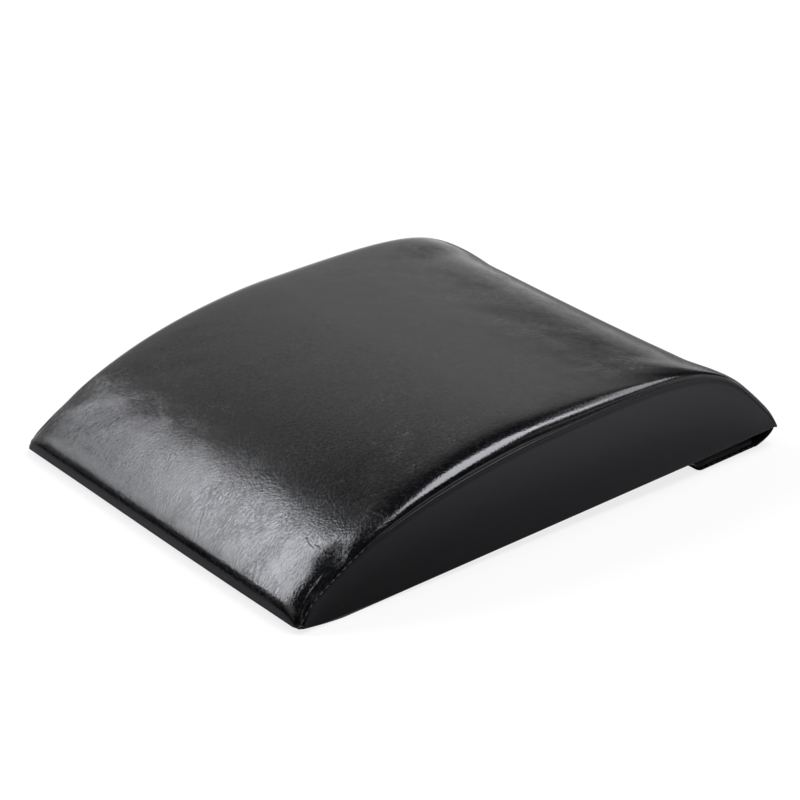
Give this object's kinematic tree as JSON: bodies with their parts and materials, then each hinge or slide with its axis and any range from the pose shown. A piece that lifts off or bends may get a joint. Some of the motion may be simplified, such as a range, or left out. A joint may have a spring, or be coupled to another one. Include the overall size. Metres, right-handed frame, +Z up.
{
  "type": "ab mat",
  "caption": "Arched foam sit-up mat in a sewn leather-look cover, thin at the front and steep at the back, with a thin tail-bone pad folded under its thick end.",
  "frame": {"origin": "middle of the footprint, on the surface that the mat stands on", "axes": "+Z up, +Y from the thin front edge to the thick rear edge with the folded pad, X across"},
  "size_m": [0.2794, 0.3804, 0.0759],
  "materials": {
    "top_cover": "smooth black leather-look vinyl with a satin gloss",
    "side_cover": "black leather-look vinyl, stretched flat, a little duller than the top",
    "base_cover": "black grained vinyl, matt",
    "firm_foam": "dense dark grey foam, open at the cut faces",
    "soft_foam": "cream upholstery foam",
    "pad_cover": "black leather-look vinyl",
    "hinge_fabric": "black woven backing fabric"
  },
  "bodies": {
    "mat": {"top_panel": "top_cover", "left_side_panel": "side_cover", "right_side_panel": "side_cover", "base_panel": "base_cover", "foam_core": "firm_foam", "comfort_foam": "soft_foam"},
    "tail_pad": {"tail_pad_inner_skin": "pad_cover", "tail_pad_outer_skin": "pad_cover", "tail_pad_foam": "soft_foam", "hinge_strip": "hinge_fabric"}
  },
  "joints": [
    {"name": "tail_pad_fold", "type": "hinge", "parent": "mat", "child": "tail_pad", "pos_m": [0, 0.18911, 0.01349], "axis": [1, 0, 0], "range_deg": [0, 180]}
  ]
}
